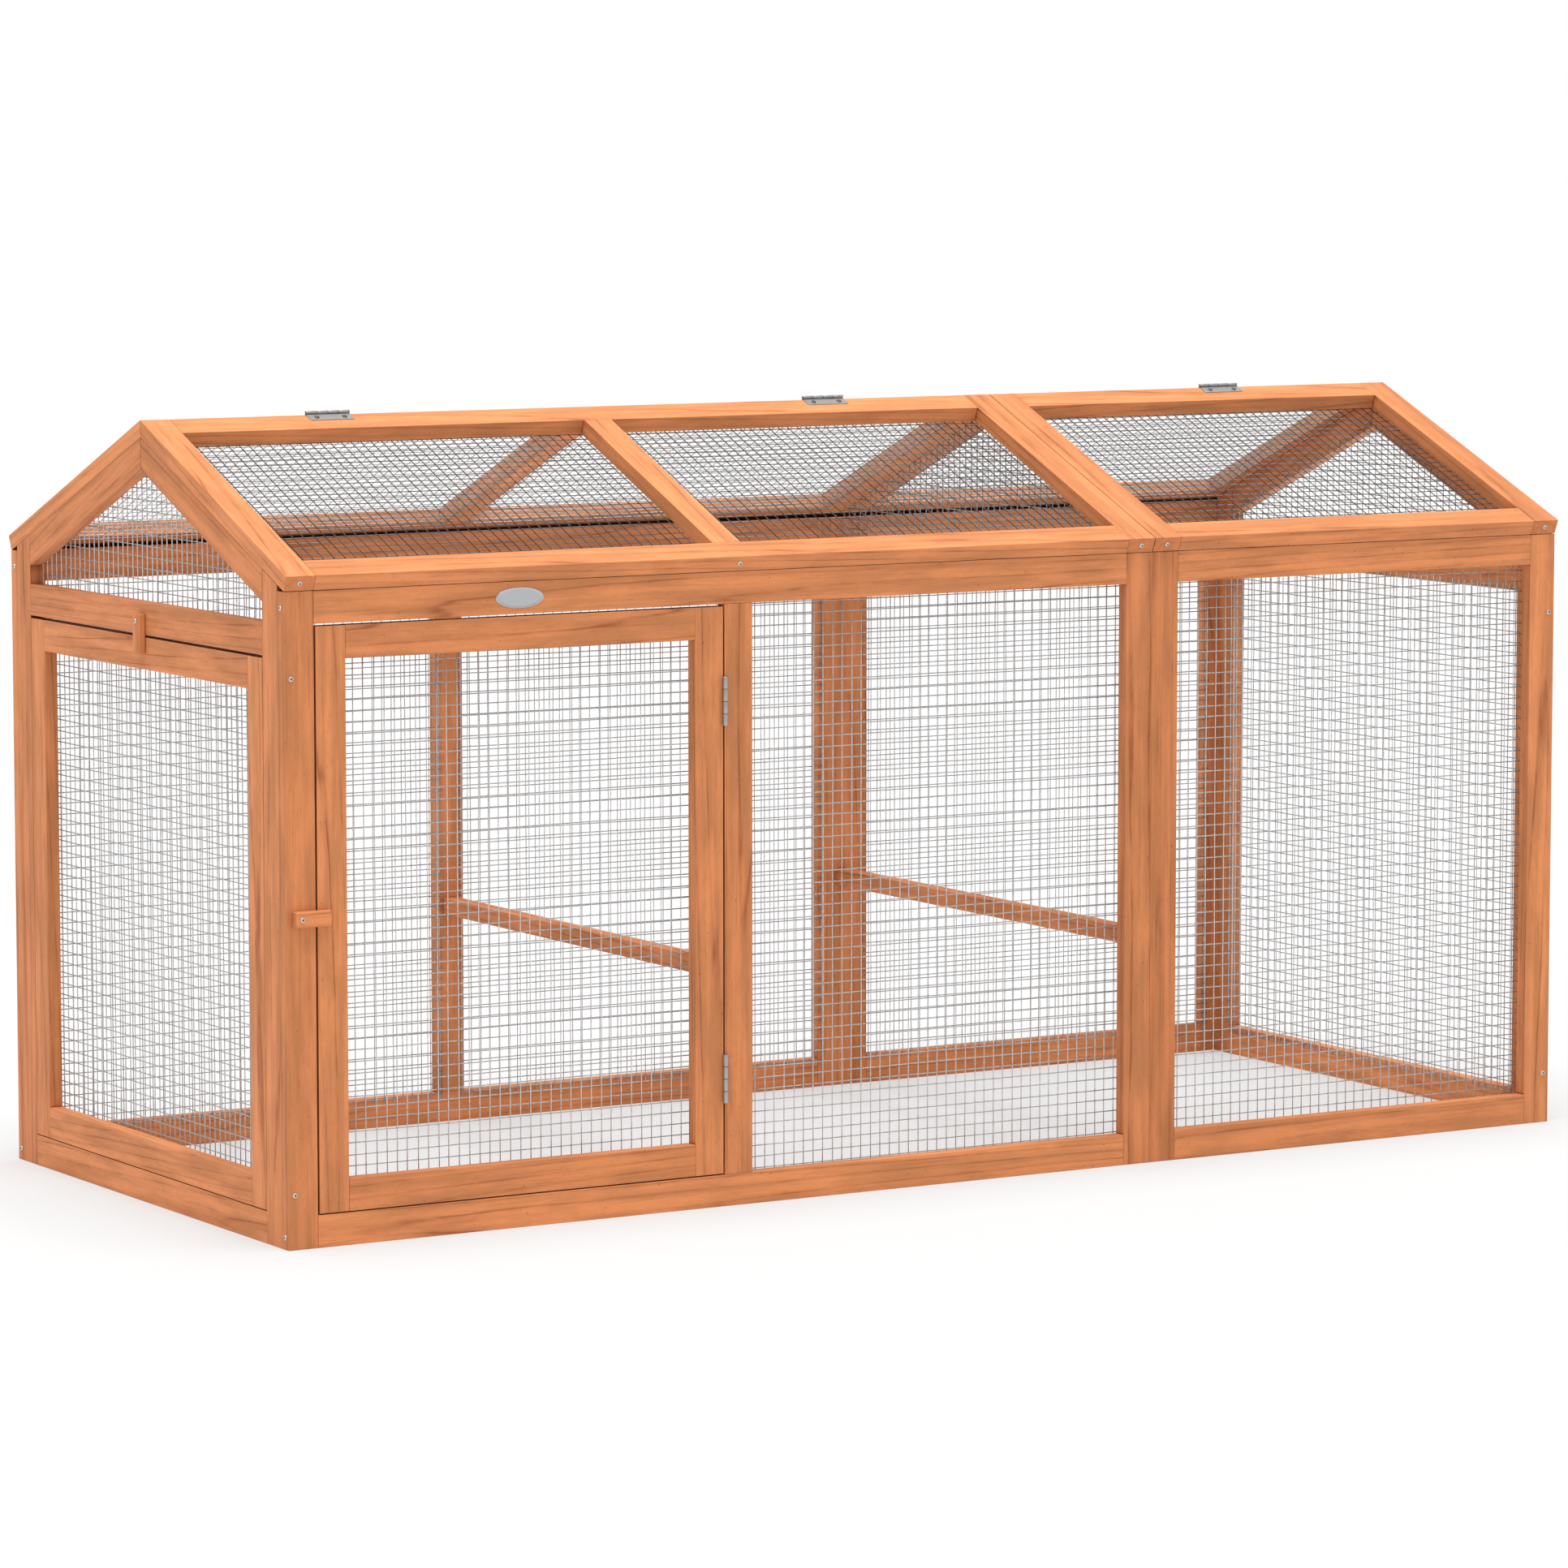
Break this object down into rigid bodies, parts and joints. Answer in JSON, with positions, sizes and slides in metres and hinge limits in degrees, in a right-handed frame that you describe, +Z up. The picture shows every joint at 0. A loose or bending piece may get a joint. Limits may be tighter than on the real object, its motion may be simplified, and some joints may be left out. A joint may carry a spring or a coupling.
{
  "type": "chicken coop with run",
  "caption": "Timber and wire-mesh poultry run of two joined modules, with a hinged door, a lift-out end panel, ridge-hinged mesh roof panels and perches across the inside.",
  "frame": {"origin": "on the ground under the middle of the run", "axes": "+X along the length towards the short module, front (door side) faces -Y, +Z up"},
  "size_m": [1.9124, 0.8038, 0.9889],
  "materials": {
    "timber": "stained softwood, satin",
    "wire": "galvanised",
    "zinc": "zinc plated",
    "plate": "satin"
  },
  "bodies": {
    "frame": {"back_a_mesh": "wire", "back_a_mid_post": "timber", "back_a_rails": "timber", "back_a_stiles": "timber", "back_b_mesh": "wire", "back_b_rails": "timber", "back_b_stiles": "timber", "door_hinge_frame_leaves": "zinc", "door_hinge_pins": "zinc", "frame_screws": "zinc", "front_a_mesh": "wire", "front_a_mid_post": "timber", "front_a_rails": "timber", "front_a_stiles": "timber", "front_b_mesh": "wire", "front_b_rails": "timber", "front_b_stiles": "timber", "left_end_rails": "timber", "left_end_stiles": "timber", "left_gable_mesh": "wire", "left_gable_rafters": "timber", "oval_plate": "plate", "perch_a": "timber", "perch_b": "timber", "rear_roof_a_centre_rafter": "timber", "rear_roof_a_mesh": "wire", "rear_roof_a_rafters": "timber", "rear_roof_a_rails": "timber", "rear_roof_b_mesh": "wire", "rear_roof_b_rafters": "timber", "rear_roof_b_rails": "timber", "ridge_hinge_pins": "zinc", "ridge_hinge_rear_leaves": "zinc", "right_end_mesh": "wire", "right_end_rails": "timber", "right_end_stiles": "timber", "right_gable_mesh": "wire", "right_gable_rafters": "timber", "seam_gable_mesh": "wire"},
    "door": {"door_stiles": "timber", "door_rails": "timber", "door_mesh": "wire", "door_hinge_door_leaves": "zinc", "door_hinge_screws": "zinc"},
    "front_roof_a": {"front_roof_a_rafters": "timber", "front_roof_a_centre_rafter": "timber", "front_roof_a_rails": "timber", "front_roof_a_mesh": "wire", "ridge_hinge_front_leaves_a": "zinc", "front_roof_a_screws": "zinc"},
    "front_roof_b": {"front_roof_b_rafters": "timber", "front_roof_b_rails": "timber", "front_roof_b_mesh": "wire", "ridge_hinge_front_leaf_b": "zinc", "front_roof_b_screws": "zinc"},
    "end_panel": {"end_panel_stiles": "timber", "end_panel_rails": "timber", "end_panel_mesh": "wire"},
    "door_button": {"door_button": "timber"},
    "end_button": {"end_button": "timber"}
  },
  "joints": [
    {"name": "door_hinge", "type": "hinge", "parent": "frame", "child": "door", "pos_m": [-0.3411, -0.39582, 0.4], "axis": [0, 0, 1], "range_deg": [0, 170]},
    {"name": "front_roof_a_hinge", "type": "hinge", "parent": "frame", "child": "front_roof_a", "pos_m": [-0.325, 0, 0.9867], "axis": [-1, 0, 0], "range_deg": [0, 215]},
    {"name": "front_roof_b_hinge", "type": "hinge", "parent": "frame", "child": "front_roof_b", "pos_m": [0.672, 0, 0.9867], "axis": [-1, 0, 0], "range_deg": [0, 215]},
    {"name": "end_panel_lift_out", "type": "slide", "parent": "frame", "child": "end_panel", "axis": [-1, 0, 0], "range_m": [0, 0.3]},
    {"name": "door_button_turn", "type": "hinge", "parent": "frame", "child": "door_button", "pos_m": [-0.9325, -0.3928, 0.402], "axis": [0, -1, 0], "range_deg": [-90, 90]},
    {"name": "end_button_turn", "type": "hinge", "parent": "frame", "child": "end_button", "pos_m": [-0.9503, 0, 0.734], "axis": [-1, 0, 0], "range_deg": [-90, 90]}
  ]
}
